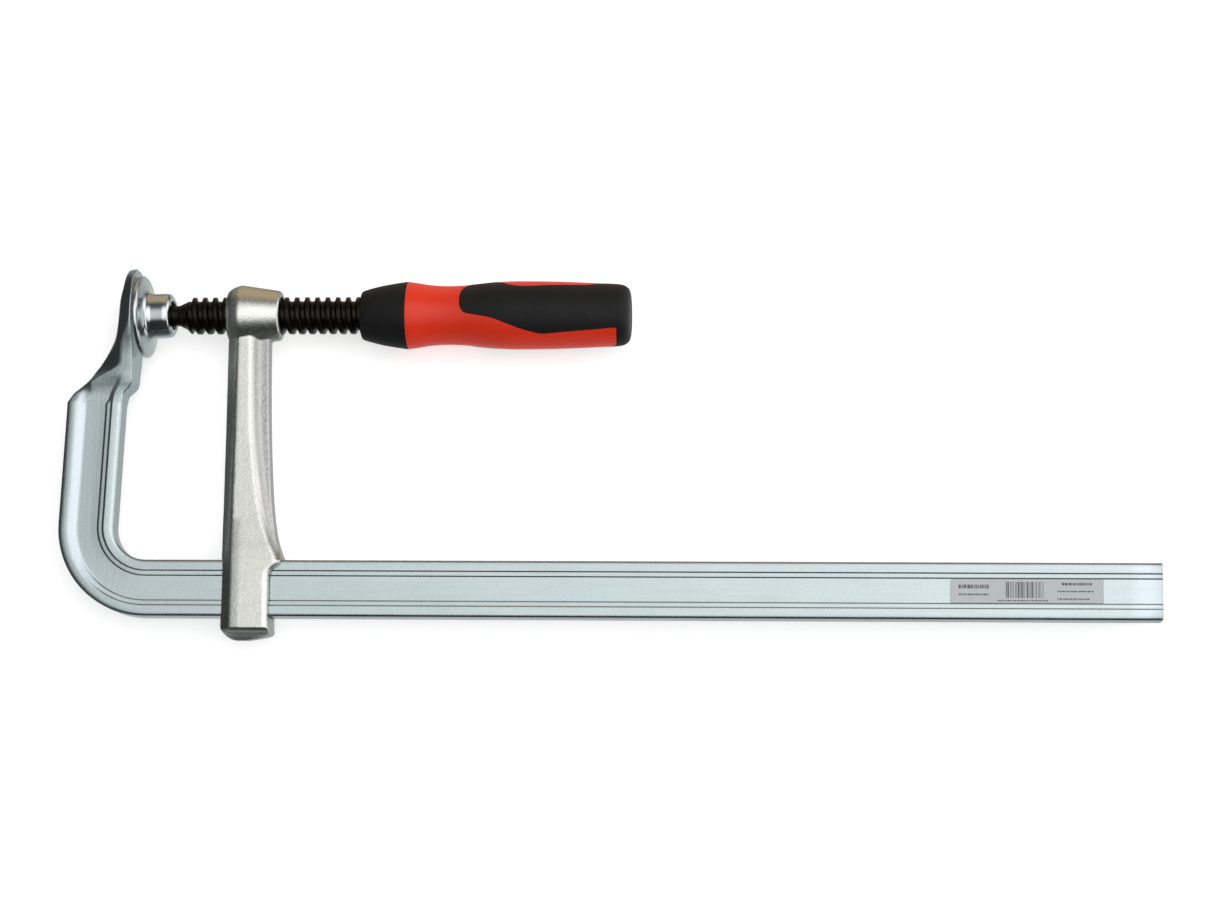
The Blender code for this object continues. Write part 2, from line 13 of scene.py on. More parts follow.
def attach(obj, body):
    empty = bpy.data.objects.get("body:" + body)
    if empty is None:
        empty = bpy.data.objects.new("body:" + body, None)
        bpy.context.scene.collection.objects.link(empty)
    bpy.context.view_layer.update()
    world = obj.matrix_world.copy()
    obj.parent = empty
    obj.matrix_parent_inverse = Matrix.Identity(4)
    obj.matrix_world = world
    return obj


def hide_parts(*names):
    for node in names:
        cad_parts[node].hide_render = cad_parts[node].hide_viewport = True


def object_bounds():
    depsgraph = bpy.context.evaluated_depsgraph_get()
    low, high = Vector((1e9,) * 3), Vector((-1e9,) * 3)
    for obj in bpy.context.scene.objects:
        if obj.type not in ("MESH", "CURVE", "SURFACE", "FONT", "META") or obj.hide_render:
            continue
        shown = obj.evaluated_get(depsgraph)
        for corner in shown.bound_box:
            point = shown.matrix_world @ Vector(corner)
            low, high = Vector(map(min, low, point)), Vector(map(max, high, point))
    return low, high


MM = 0.001  # sizes are in millimetres, and meshes in metres
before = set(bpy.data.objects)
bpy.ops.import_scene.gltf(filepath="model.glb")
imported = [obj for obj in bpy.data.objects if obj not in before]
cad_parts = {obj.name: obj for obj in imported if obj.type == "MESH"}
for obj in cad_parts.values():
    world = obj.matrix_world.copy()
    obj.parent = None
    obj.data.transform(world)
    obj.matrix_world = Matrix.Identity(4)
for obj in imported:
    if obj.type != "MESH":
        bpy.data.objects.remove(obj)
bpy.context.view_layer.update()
rng = random.Random(7)

# ---------------------------------------------------------------- shared sizes, as in the CAD

RAIL_WIDTH = 27.0
RAIL_HALF_THICKNESS = 6.5
RAIL_INNER_Y = -120.0
RAIL_CENTRE_Y = RAIL_INNER_Y - RAIL_WIDTH / 2
RAIL_END_X = 491.0
BEND_CENTRE = (9.0, -103.8)
BEND_RADIUS = 29.7
BEND_DEG = 92.0
LEG_TOP_Y = -45.0
PITCH = 5.0
CREST_R = 9.0
ROOT_R = 7.0
NECK_R = 4.9
BALL_X = 11.6
BALL_R = 6.2
SOCKET_R = 8.0
MOUTH_R = 6.95
PLATE_LEAN_Y = -4.3
PLATE_LEAN_Z = 2.0
COLLAR_END_X = 132.0
NOSE_R = 10.0

# ---------------------------------------------------------------- mesh helpers


def metres(points):
    """Vectors in metres from millimetre points."""
    return [Vector(p) * MM for p in points]


def new_object(name, vertices, faces, mat, smooth_deg=40.0):
    """A mesh from millimetre points, welded, with outward normals and smooth shading."""
    data = bpy.data.meshes.new(name)
    data.from_pydata(metres(vertices), [], faces)
    data.validate()
    edit = bmesh.new()
    edit.from_mesh(data)
    bmesh.ops.remove_doubles(edit, verts=edit.verts, dist=1e-7)
    bmesh.ops.recalc_face_normals(edit, faces=edit.faces)
    edit.to_mesh(data)
    edit.free()
    obj = bpy.data.objects.new(name, data)
    bpy.context.scene.collection.objects.link(obj)
    if mat:
        data.materials.append(mat)
    smooth(obj, smooth_deg)
    return obj


def smooth(obj, angle_deg):
    """Smooth shading, except over edges sharper than the angle."""
    for polygon in obj.data.polygons:
        polygon.use_smooth = True
    obj.data.set_sharp_from_angle(angle=math.radians(angle_deg))


def skin(loops, capped=True):
    """Vertices and faces of a skin over equal loops."""
    count = len(loops[0])
    vertices = [p for loop in loops for p in loop]
    faces = []
    for row in range(len(loops) - 1):
        a = row * count
        b = a + count
        for i in range(count):
            j = (i + 1) % count
            faces.append((a + i, a + j, b + j, b + i))
    if capped:
        faces.append(tuple(range(count)))
        faces.append(tuple(range(len(vertices) - count, len(vertices))))
    return vertices, faces


def turned(profile, segments=128):
    """Vertices and faces of a closed (x, r) profile turned about X; r 0 is a pole."""
    vertices = []
    rings = []
    for x, r in profile:
        if r < 1e-6:
            rings.append([len(vertices)])
            vertices.append((x, 0.0, 0.0))
            continue
        rings.append(list(range(len(vertices), len(vertices) + segments)))
        for i in range(segments):
            turn = 2 * math.pi * i / segments
            vertices.append((x, r * math.cos(turn), r * math.sin(turn)))
    pairs = list(zip(rings, rings[1:]))
    if len(rings[0]) > 1 and len(rings[-1]) > 1:
        pairs.append((rings[-1], rings[0]))
    faces = []
    for a, b in pairs:
        for i in range(segments):
            j = (i + 1) % segments
            if len(a) > 1 and len(b) > 1:
                faces.append((a[i], a[j], b[j], b[i]))
            elif len(b) > 1:
                faces.append((a[0], b[j], b[i]))
            elif len(a) > 1:
                faces.append((a[i], a[j], b[0]))
    return vertices, faces


def between(rows, steps):
    """Catmull-Rom rows of numbers between the given rows."""
    padded = [rows[0], *rows, rows[-1]]
    made = []
    for p, q, r, s in zip(padded, padded[1:], padded[2:], padded[3:]):
        for step in range(steps):
            t = step / steps
            made.append(
                [
                    b + 0.5 * t * (c - a + t * (2 * a - 5 * b + 4 * c - d + t * (3 * (b - c) + d - a)))
                    for a, b, c, d in zip(p, q, r, s)
                ]
            )
    made.append(list(rows[-1]))
    return made


def corner(before, here, after, cut, steps):
    """Points round a corner that is cut back by a length, or by just under half a side where that is less."""
    back = before - here
    ahead = after - here
    first = here + back.normalized() * min(cut, 0.49 * back.length)
    last = here + ahead.normalized() * min(cut, 0.49 * ahead.length)
    made = []
    for step in range(steps + 1):
        t = step / steps
        made.append(first * (1 - t) ** 2 + here * 2 * t * (1 - t) + last * t * t)
    return made


def rounded(points, cuts, steps=5):
    """A closed polygon of 2D or 3D points with each corner cut back by its length and rounded."""
    points = [Vector(p) for p in points]
    made = []
    for i, here in enumerate(points):
        after = points[(i + 1) % len(points)]
        made += [tuple(p) for p in corner(points[i - 1], here, after, cuts[i], steps)]
    return made


def rounded_profile(points, cut=0.3, steps=4):
    """An open (x, r) profile with its inner corners rounded."""
    points = [Vector(p) for p in points]
    made = [tuple(points[0])]
    for before, here, after in zip(points, points[1:], points[2:]):
        short = min(cut, 0.45 * (before - here).length, 0.45 * (after - here).length)
        made += [(p.x, max(0.0, p.y)) for p in corner(before, here, after, short, steps)]
    made.append(tuple(points[-1]))
    return made


def place(obj, body, nodes=()):
    """Ride a finished piece on a body, in place of the CAD nodes it stands for."""
    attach(obj, body)
    if nodes:
        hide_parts(*nodes)
    return obj


def boolean(obj, cutter, operation="DIFFERENCE"):
    """Join the cutter to the object or take it away, and remove the cutter."""
    modifier = obj.modifiers.new("cut", "BOOLEAN")
    modifier.operation = operation
    modifier.solver = "EXACT"
    modifier.object = cutter
    apply_modifiers(obj)
    bpy.data.objects.remove(cutter, do_unlink=True)


def apply_modifiers(obj):
    """Swap the mesh for what its modifiers make of it."""
    graph = bpy.context.evaluated_depsgraph_get()
    made = bpy.data.meshes.new_from_object(obj.evaluated_get(graph))
    obj.modifiers.clear()
    old = obj.data
    obj.data = made
    bpy.data.meshes.remove(old)


# ---------------------------------------------------------------- material helpers


class Nodes:
    """Short names for building one Principled material."""

    def __init__(self, name):
        self.material = bpy.data.materials.new(name)
        self.material.use_nodes = True
        self.tree = self.material.node_tree
        self.shader = self.tree.nodes["Principled BSDF"]
        self.coords = self.add("ShaderNodeTexCoord").outputs["Object"]

    def add(self, kind, **values):
        """A new node with some of its own settings."""
        node = self.tree.nodes.new(kind)
        for key, value in values.items():
            setattr(node, key, value)
        return node

    def link(self, source, target):
        self.tree.links.new(source, target)

    def stretched(self, x=1.0, y=1.0, z=1.0):
        """The point scaled along each axis: a scale below 1 draws a pattern out along that axis."""
        node = self.add("ShaderNodeMapping")
        node.inputs["Scale"].default_value = (x, y, z)
        self.link(self.coords, node.inputs["Vector"])
        return node.outputs["Vector"]

    def axes(self):
        """X, Y and Z of the point, in metres."""
        node = self.add("ShaderNodeSeparateXYZ")
        self.link(self.coords, node.inputs[0])
        return node.outputs

    def noise(self, scale, detail=3.0, rough=0.55, vector=None):
        """Smooth noise, with scale features to a metre."""
        node = self.add("ShaderNodeTexNoise")
        node.inputs["Scale"].default_value = scale
        node.inputs["Detail"].default_value = detail
        node.inputs["Roughness"].default_value = rough
        self.link(vector or self.coords, node.inputs["Vector"])
        return node.outputs["Fac"]

    def ramp(self, source, low, high, first=0.0, last=1.0):
        """A number that goes from first to last as the source goes from low to high."""
        node = self.add("ShaderNodeMapRange")
        node.inputs["From Min"].default_value = low
        node.inputs["From Max"].default_value = high
        node.inputs["To Min"].default_value = first
        node.inputs["To Max"].default_value = last
        self.link(source, node.inputs["Value"])
        return node.outputs["Result"]

    def maths(self, operation, a, b=0.0):
        """One sum on sockets or numbers."""
        node = self.add("ShaderNodeMath", operation=operation)
        for socket, value in zip(node.inputs, (a, b)):
            if isinstance(value, (int, float)):
                socket.default_value = value
            else:
                self.link(value, socket)
        return node.outputs["Value"]

    def times(self, a, b):
        return self.maths("MULTIPLY", a, b)

    def plus(self, a, b):
        return self.maths("ADD", a, b)

    def mix(self, factor, a, b):
        """Colour from a to b as the factor goes from 0 to 1."""
        node = self.add("ShaderNodeMix", data_type="RGBA")
        self.link(factor, node.inputs["Factor"])
        for key, value in (("A", a), ("B", b)):
            socket = [s for s in node.inputs if s.name == key and s.type == "RGBA"][0]
            if isinstance(value, tuple):
                socket.default_value = (*value, 1)
            else:
                self.link(value, socket)
        return [s for s in node.outputs if s.type == "RGBA"][0]

    def bump(self, height, depth, previous=None, strength=1.0):
        """Relief of a depth in metres, over the relief before it."""
        node = self.add("ShaderNodeBump")
        node.inputs["Strength"].default_value = strength
        node.inputs["Distance"].default_value = depth
        self.link(height, node.inputs["Height"])
        if previous:
            self.link(previous, node.inputs["Normal"])
        return node.outputs["Normal"]

    def finish(self, colour, roughness, normal=None, metallic=0.0, **sockets):
        """Wire the shader; a number goes straight into its socket."""
        shader = self.shader
        for key, value in (("Base Color", colour), ("Roughness", roughness)):
            if isinstance(value, tuple):
                shader.inputs[key].default_value = (*value, 1)
            elif isinstance(value, (int, float)):
                shader.inputs[key].default_value = value
            else:
                self.link(value, shader.inputs[key])
        if normal:
            self.link(normal, shader.inputs["Normal"])
        shader.inputs["Metallic"].default_value = metallic
        for key, value in sockets.items():
            shader.inputs[key.replace("_", " ")].default_value = value
        return self.material


def rail_zinc():
    """Drawn steel with pale blue-grey zinc: streaks along the bar, cloudy tint, specks and fine grain."""
    n = Nodes("zinc_plated_rail")
    cloud = n.noise(scale=30.0, detail=4.0, rough=0.6)
    # the streaks turn with the bar: this goes from 0 on the leg to 1 on the rail
    on_rail = n.ramp(n.axes()["X"], -0.014, 0.010)
    on_leg = n.maths("SUBTRACT", 1.0, on_rail)
    along_rail = n.noise(scale=700.0, detail=3.0, rough=0.6, vector=n.stretched(0.04, 1.0, 1.0))
    along_leg = n.noise(scale=700.0, detail=3.0, rough=0.6, vector=n.stretched(1.0, 0.04, 1.0))
    streak = n.plus(n.times(along_rail, on_rail), n.times(along_leg, on_leg))
    grain = n.noise(scale=1300.0, detail=3.0, rough=0.7)
    speck = n.ramp(n.noise(scale=230.0, detail=5.0, rough=0.7), 0.70, 0.78)
    tint = n.mix(cloud, (0.375, 0.435, 0.445), (0.43, 0.485, 0.49))
    worn = n.mix(n.ramp(grain, 0.25, 0.75, 0.0, 0.30), tint, (0.30, 0.345, 0.355))
    colour = n.mix(n.times(speck, 0.35), worn, (0.22, 0.24, 0.24))
    rough = n.ramp(n.plus(n.times(streak, 0.5), n.times(grain, 0.5)), 0.3, 0.7, 0.20, 0.33)
    normal = n.bump(streak, 0.00004, strength=0.5)
    normal = n.bump(grain, 0.00006, normal, strength=0.6)
    return n.finish(colour, rough, normal, metallic=1.0)


def forging_zinc():
    """Drop-forged steel under zinc: pitted, mottled, slightly warm, rougher and coarser in the web, where the
    colour is also darkened as painted shade.
    """
    n = Nodes("zinc_plated_forging")
    coarse = n.noise(scale=640.0, detail=5.0, rough=0.65)
    fine = n.noise(scale=1900.0, detail=4.0, rough=0.7)
    cloud = n.noise(scale=55.0, detail=3.0, rough=0.55)
    pits = n.ramp(n.noise(scale=700.0, detail=3.0, rough=0.6), 0.60, 0.74)
    # 1 in the web's recess, 0 on the flanges: it makes the web rougher and its relief coarser, and darkens
    # its colour as painted shade
    recess = n.ramp(n.maths("ABSOLUTE", n.axes()["Z"]), 0.0066, 0.0080, 1.0, 0.0)
    tint = n.mix(cloud, (0.55, 0.56, 0.52), (0.62, 0.625, 0.575))
    # painted shade: the colour is mixed towards dark grey in the web's recess
    tint_with_painted_web_shade = n.mix(n.times(recess, 0.60), tint, (0.40, 0.405, 0.40))
    colour = n.mix(n.times(pits, 0.25), tint_with_painted_web_shade, (0.24, 0.235, 0.21))
    rough = n.plus(n.ramp(coarse, 0.3, 0.7, 0.22, 0.36), n.times(recess, 0.07))
    relief = n.times(coarse, n.plus(n.times(recess, 5.0), 1.0))
    normal = n.bump(relief, 0.00013, strength=0.6)
    normal = n.bump(fine, 0.00012, normal, strength=0.7)
    return n.finish(colour, rough, normal, metallic=1.0)


def black_oxide():
    """Blackened steel, slightly brown, oily in patches."""
    n = Nodes("black_oxide_steel")
    cloud = n.noise(scale=160.0, detail=4.0, rough=0.6)
    fine = n.noise(scale=1800.0, detail=3.0, rough=0.6)
    colour = n.mix(cloud, (0.008, 0.0065, 0.0055), (0.022, 0.017, 0.0135))
    rough = n.ramp(cloud, 0.3, 0.7, 0.26, 0.42)
    return n.finish(colour, rough, n.bump(fine, 0.00003, strength=0.5), metallic=0.85)


def bright_zinc():
    """Turned steel with bright zinc: fine lathe rings about the spindle's axis."""
    n = Nodes("bright_zinc")
    axes = n.axes()
    square = n.plus(n.maths("POWER", axes["Y"], 2.0), n.maths("POWER", axes["Z"], 2.0))
    rings = n.add("ShaderNodeTexNoise", noise_dimensions="1D")
    rings.inputs["Scale"].default_value = 3200.0
    rings.inputs["Detail"].default_value = 2.0
    n.link(n.plus(n.maths("SQRT", square), n.times(axes["X"], 1.3)), rings.inputs["W"])
    cloud = n.noise(scale=120.0, detail=3.0, rough=0.6)
    colour = n.mix(cloud, (0.47, 0.50, 0.505), (0.55, 0.58, 0.585))
    rough = n.ramp(cloud, 0.3, 0.7, 0.10, 0.18)
    return n.finish(colour, rough, n.bump(rings.outputs["Fac"], 0.00002, strength=0.6), metallic=1.0)


def spring_steel():
    """Plain rolled steel, slightly clouded."""
    n = Nodes("spring_steel")
    cloud = n.noise(scale=400.0, detail=3.0, rough=0.6)
    colour = n.mix(cloud, (0.22, 0.22, 0.23), (0.34, 0.34, 0.35))
    return n.finish(colour, n.ramp(cloud, 0.3, 0.7, 0.28, 0.42), metallic=1.0)


def red_plastic():
    """Satin moulded polyamide with a very fine spark-eroded grain."""
    n = Nodes("red_handle_plastic")
    cloud = n.noise(scale=45.0, detail=3.0, rough=0.5)
    grain = n.noise(scale=3200.0, detail=2.0, rough=0.6)
    ripple = n.noise(scale=150.0, detail=2.0, rough=0.5)
    colour = n.mix(cloud, (0.82, 0.033, 0.009), (0.90, 0.042, 0.012))
    rough = n.ramp(cloud, 0.3, 0.7, 0.40, 0.48)
    normal = n.bump(grain, 0.00003, strength=0.5)
    normal = n.bump(ripple, 0.00004, normal, strength=0.4)
    return n.finish(colour, rough, normal, Specular_IOR_Level=0.36)


def soft_grip():
    """Matte soft-touch elastomer: fine even grain, a little dusty."""
    n = Nodes("black_soft_grip")
    grain = n.noise(scale=2400.0, detail=3.0, rough=0.65)
    cloud = n.noise(scale=70.0, detail=4.0, rough=0.6)
    dust = n.ramp(n.noise(scale=300.0, detail=5.0, rough=0.7), 0.58, 0.80)
    base = n.mix(cloud, (0.0055, 0.0052, 0.005), (0.0095, 0.0092, 0.009))
    colour = n.mix(n.times(dust, 0.25), base, (0.05, 0.048, 0.046))
    rough = n.ramp(cloud, 0.3, 0.7, 0.56, 0.66)
    normal = n.bump(grain, 0.00005, strength=0.6)
    return n.finish(colour, rough, normal, Specular_IOR_Level=0.28, Sheen_Weight=0.02)


def label_foil():
    """Silver-grey printed film, satin."""
    n = Nodes("label_foil")
    cloud = n.noise(scale=60.0, detail=3.0, rough=0.6)
    grain = n.noise(scale=2500.0, detail=2.0, rough=0.6)
    colour = n.mix(cloud, (0.55, 0.575, 0.59), (0.61, 0.635, 0.65))
    rough = n.ramp(cloud, 0.3, 0.7, 0.42, 0.55)
    return n.finish(colour, rough, n.bump(grain, 0.00001, strength=0.4), metallic=0.1)


def label_ink():
    """Dark grey print, uneven in tone."""
    n = Nodes("label_ink")
    grain = n.noise(scale=1800.0, detail=2.0, rough=0.6)
    colour = n.mix(grain, (0.09, 0.093, 0.10), (0.14, 0.143, 0.15))
    return n.finish(colour, n.ramp(grain, 0.3, 0.7, 0.45, 0.6))


ZINC = rail_zinc()
FORGING = forging_zinc()
OXIDE = black_oxide()
BRIGHT = bright_zinc()
SPRING = spring_steel()
RED = red_plastic()
BLACK = soft_grip()
FOIL = label_foil()
INK = label_ink()

# ---------------------------------------------------------------- rail and fixed jaw

# Where the straight rail has a section of its own; the last one lies close to the bend
RAIL_X = (RAIL_END_X - 0.7, 380.0, 250.0, 120.0, 60.0, 25.0, 12.0)
# How far up the leg it has one, from the bend
LEG_TOP = LEG_TOP_Y - BEND_CENTRE[1]
LEG_RISES = (3.0, 14.0, 30.0, 46.0, 54.0, LEG_TOP - 2.5, LEG_TOP)
BEND_STEPS = 16
# The flutes soften in the bend, but not in its first and last steps
BEND_REST = 3
# How far the end's edge is drawn in, at two distances from the end
END_BEVEL = ((0.7, 0.0), (0.35, 0.12))
# Control points of half the section (across, up) and how far each corner is cut, for the straight rail
RAIL_HALF = (
    (-13.5, 4.1, 0.4),
    (-13.5, 6.5, 2.4),
    (-8.55, 6.5, 0.18),
    (-8.1, 6.02, 0.18),
    (-6.2, 5.98, 0.18),
    (-5.75, 5.5, 0.18),
    (0.0, 5.5, 1.0),
    (5.75, 5.5, 0.18),
    (6.2, 5.98, 0.18),
    (8.1, 6.02, 0.18),
    (8.55, 6.5, 0.18),
    (13.5, 6.5, 1.9),
    (13.5, 4.4, 0.4),
)
# The same on the leg, where bending has softened the outer flute
LEG_HALF = (
    (-13.5, 3.6, 0.6),
    (-13.5, 6.3, 2.5),
    (-9.2, 6.5, 1.4),
    (-7.4, 6.15, 1.2),
    (-6.2, 5.85, 1.0),
    (-4.6, 5.35, 0.9),
    (0.0, 5.42, 1.0),
    (5.5, 5.5, 0.3),
    (6.15, 5.95, 0.3),
    (7.85, 5.97, 0.2),
    (8.6, 6.5, 0.4),
    (13.5, 6.3, 2.4),
    (13.5, 3.9, 0.5),
)
# Fixed jaw tip: y, then x and half-width of seven points, from the rib behind over its shoulder to the face
JAW = (
    (-42.0, -31.0, 6.2, -26.9, 6.4, -24.0, 5.8, -19.5, 5.75, -11.8, 5.8, -9.6, 6.5, -4.9, 6.5),
    (-39.0, -28.9, 6.0, -26.0, 6.2, -23.4, 6.1, -19.8, 6.3, -10.9, 6.4, -8.8, 6.9, -4.3, 7.0),
    (-36.5, -26.0, 5.5, -24.8, 5.9, -23.0, 6.4, -20.4, 7.0, -9.5, 7.1, -7.5, 7.5, -1.8, 7.6),
    (-34.0, -23.2, 5.0, -22.6, 5.8, -21.9, 6.8, -20.6, 7.8, -8.0, 8.0, -6.0, 8.3, -0.3, 8.4),
    (-31.0, -20.9, 4.4, -19.6, 6.0, -18.2, 7.4, -16.2, 8.8, -7.5, 9.1, -5.0, 9.2, 0.0, 9.2),
    (-28.0, -18.8, 4.2, -16.3, 6.0, -13.4, 8.0, -9.9, 9.9, -6.5, 10.0, -4.0, 10.0, 0.0, 10.0),
    (-25.0, -16.6, 4.0, -13.6, 6.2, -10.2, 8.8, -6.6, 10.8, -5.0, 10.9, -3.0, 10.9, 0.0, 10.9),
    (-20.0, -13.6, 4.2, -11.2, 7.2, -8.6, 10.3, -6.0, 12.3, -4.5, 12.4, -2.5, 12.4, 0.0, 12.4),
    (-15.5, -11.2, 5.0, -9.8, 8.4, -7.9, 11.8, -5.4, 13.9, -4.0, 14.0, -2.2, 14.0, 0.0, 14.0),
    (-11.0, -9.2, 6.2, -8.5, 9.6, -7.2, 12.9, -3.6, 15.6, -2.8, 15.7, -1.8, 15.8, 0.0, 15.8),
    (-5.5, -8.3, 7.0, -7.6, 10.8, -6.5, 14.0, -1.8, 17.4, -1.4, 17.6, -1.0, 17.7, 0.0, 17.7),
    (0.0, -8.0, 7.0, -7.2, 11.2, -6.0, 14.5, -1.0, 18.6, -0.8, 18.8, -0.6, 19.0, 0.0, 19.0),
    (5.0, -7.7, 6.5, -6.9, 11.0, -5.9, 14.3, -1.0, 18.4, -0.8, 18.6, -0.6, 18.8, 0.0, 18.8),
    (8.0, -6.3, 7.5, -6.1, 11.0, -5.7, 13.8, -1.0, 17.8, -0.8, 18.0, -0.6, 18.2, 0.0, 18.2),
    (11.5, -5.6, 7.0, -5.5, 10.0, -5.3, 12.6, -1.0, 16.6, -0.8, 16.8, -0.6, 17.0, 0.0, 17.0),
    (16.5, -5.4, 5.4, -5.3, 7.8, -5.0, 9.9, -1.2, 13.6, -1.0, 13.8, -0.8, 14.0, 0.0, 14.0),
    (20.0, -5.2, 3.6, -5.0, 5.2, -4.6, 6.6, -1.4, 9.4, -1.2, 9.6, -1.0, 9.8, 0.0, 9.8),
    (22.0, -4.7, 1.8, -4.4, 2.8, -4.0, 3.8, -1.7, 5.3, -1.4, 5.4, -1.2, 5.5, -0.2, 5.5),
    (22.8, -3.9, 0.9, -3.6, 1.4, -3.2, 1.8, -2.0, 2.5, -1.8, 2.6, -1.6, 2.7, -0.8, 2.7),
)


def both_sides(half):
    """A closed section from its upper half."""
    return list(half) + [(a, -b, *rest) for a, b, *rest in reversed(half)]


def jaw_half(y, points):
    """The leg's thirteen points on the forged tip, with how far each corner is cut."""
    (back, rib), *rest, (front, width) = points
    third, fourth, fifth, low, high = (Vector(p) for p in rest)
    # the shoulder is rounder next to the leg, and the flute's ledge lies between the low and the high point
    ridge = 2.4 if y < -30 else 1.2
    ledge = low.lerp(high, 0.28), low.lerp(high, 0.72)
    return [
        (back, rib - min(1.6, 0.5 * rib), 0.5),
        (back, rib, 1.2),
        (*third, 1.2),
        (*third.lerp(fourth, 0.5), 1.2),
        (*fourth, 1.4),
        (*fourth.lerp(fifth, 0.6), 1.0),
        (*fifth, ridge),
        (*low, 0.3),
        (*ledge[0], 0.2),
        (*ledge[1], 0.2),
        (*high, 0.3),
        (front, width, 0.9 if y < -12 else 0.5),
        (front, width - min(1.4, 0.5 * width), 0.4),
    ]


def lerp_rows(a, b, share):
    """Rows of numbers part of the way from a to b."""
    return [[x + (y - x) * share for x, y in zip(p, q)] for p, q in zip(a, b)]


def rail_stations():
    """Every section along the rail, the bend, the leg and the tip, as 3D control points with cuts."""
    rail = both_sides(RAIL_HALF)
    leg = both_sides(LEG_HALF)
    stations = [[(x, RAIL_CENTRE_Y + a, u, c) for a, u, c in rail] for x in RAIL_X]
    for step in range(BEND_STEPS + 1):
        turn = math.radians(BEND_DEG) * step / BEND_STEPS
        share = min(1.0, max(0.0, (step - BEND_REST) / (BEND_STEPS - 2 * BEND_REST)))
        station = []
        for a, u, c in lerp_rows(rail, leg, share):
            x = BEND_CENTRE[0] - (BEND_RADIUS - a) * math.sin(turn)
            y = BEND_CENTRE[1] - (BEND_RADIUS - a) * math.cos(turn)
            station.append((x, y, u, c))
        stations.append(station)
    turn = math.radians(BEND_DEG)
    along = (-math.cos(turn), math.sin(turn))
    foot = stations[-1]
    for rise in LEG_RISES:
        stations.append([(x + along[0] * rise, y + along[1] * rise, u, c) for x, y, u, c in foot])
    for y, *values in JAW:
        half = jaw_half(y, list(zip(values[::2], values[1::2])))
        stations.append([(a, y, u, c) for a, u, c in both_sides(half)])
    return stations


def make_rail():
    """The rail, its bend, the leg and the forged tip as one skin."""
    loops = []
    for row in between([[v for point in station for v in point] for station in rail_stations()], 5):
        points = [row[i : i + 3] for i in range(0, len(row), 4)]
        loops.append(rounded(points, row[3::4]))
    lids = []
    for inset, back in END_BEVEL:
        across = 1 - inset / (RAIL_WIDTH / 2)
        up = 1 - inset / RAIL_HALF_THICKNESS
        x = RAIL_END_X - back
        lids.append([(x, RAIL_CENTRE_Y + (y - RAIL_CENTRE_Y) * across, z * up) for _, y, z in loops[0]])
    rail = new_object("rail_and_fixed_jaw_forged", *skin(lids + loops), ZINC, 42.0)
    return place(rail, "frame", ["rail_and_fixed_jaw"])


# ---------------------------------------------------------------- sliding arm

SLOT_CLEARANCE = 0.4
BORE_R = 9.3
# The slot's and the bore's cutters run from well left of the arm to well right of it
CUT_X = (30.0, 90.0)
VOXEL = 0.5
RELAX_PASSES = 7
# y, left x, chamfer, flange half-thickness, flange right x, web x, web half-thickness, right x
ARM = (
    (-4.0, 45.2, 5.4, 8.6, 57.0, 60.4, 4.6, 65.5),
    (-25.0, 45.2, 5.4, 8.6, 57.4, 60.8, 4.6, 65.6),
    (-58.0, 45.4, 5.3, 8.9, 58.7, 62.0, 4.6, 66.7),
    (-83.0, 45.5, 5.2, 9.5, 61.7, 64.9, 4.7, 68.2),
    (-95.0, 45.6, 5.1, 9.9, 63.9, 66.7, 4.8, 69.3),
    (-102.5, 45.6, 5.1, 10.3, 65.8, 68.3, 4.9, 70.3),
    (-109.5, 45.7, 5.0, 10.7, 68.3, 70.1, 5.2, 71.6),
    (-115.5, 45.8, 5.0, 11.2, 71.0, 72.0, 6.0, 73.5),
    (-119.2, 45.8, 5.0, 11.4, 72.4, 73.2, 8.6, 74.7),
    (-121.6, 45.9, 5.0, 11.5, 72.6, 73.2, 10.8, 74.4),
    (-126.6, 46.0, 5.0, 11.5, 68.0, 68.6, 11.0, 69.6),
    (-136.0, 46.0, 5.0, 11.5, 67.7, 68.3, 11.0, 69.3),
    (-151.8, 46.1, 4.9, 11.5, 67.9, 68.5, 11.0, 69.6),
    (-153.0, 46.3, 4.8, 11.4, 68.0, 68.8, 10.9, 70.0),
    (-154.2, 46.8, 4.4, 10.0, 67.8, 68.7, 9.5, 69.9),
    (-155.6, 47.8, 3.8, 6.6, 66.6, 67.8, 6.1, 69.2),
    (-157.1, 49.8, 3.0, 3.4, 62.2, 63.4, 3.0, 65.0),
    (-158.2, 52.6, 1.4, 1.9, 56.6, 57.2, 1.7, 58.8),
)
# (x, r) of the threaded boss
BOSS = (
    (44.5, 0.0),
    (44.5, 11.3),
    (45.4, 12.4),
    (47.3, 13.6),
    (51.0, 14.9),
    (69.6, 12.1),
    (70.5, 11.4),
    (70.5, 0.0),
)


def arm_loop(y, left, chamfer, flange, flange_x, web_x, web, right):
    """The arm's section at y: chamfered back, flange, thinner web and a faint lip on the web's right edge."""
    # how far the chamfer runs down the back, how far its top edge sinks on the collar, and the lip's height
    lead = min(chamfer, 0.62 * flange)
    crown = 0.35 if y < -100 else 0.0
    lip = 0.12 * min(1.0, max(0.0, (y + 117.0) / 9.0))
    half = [
        (left, flange - lead, 0.9),
        (left + chamfer, flange - crown, 0.9),
        (left + chamfer + 4.0, flange, 0.9),
        (flange_x, flange, 0.9),
        (web_x, web, 1.2),
        (right - 2.6 * lip - 0.5, web - 0.3 * lip, 0.8),
        (right - 0.7 * lip - 0.3, web + lip, 0.5),
        (right, web + 0.6 * lip - 0.5, 0.8),
    ]
    full = both_sides(half)
    outline = rounded([(a, b) for a, b, _ in full], [c for _, _, c in full], 4)
    return [(x, y, z) for x, z in outline]


def box_cutter(low, high):
    """A box that a boolean takes away, so it never shows."""
    corners = [(x, y, z) for x in (low[0], high[0]) for y in (low[1], high[1]) for z in (low[2], high[2])]
    faces = [(0, 1, 3, 2), (4, 6, 7, 5), (0, 4, 5, 1), (2, 3, 7, 6), (0, 2, 6, 4), (1, 5, 7, 3)]
    return new_object("cutter", corners, faces, None)


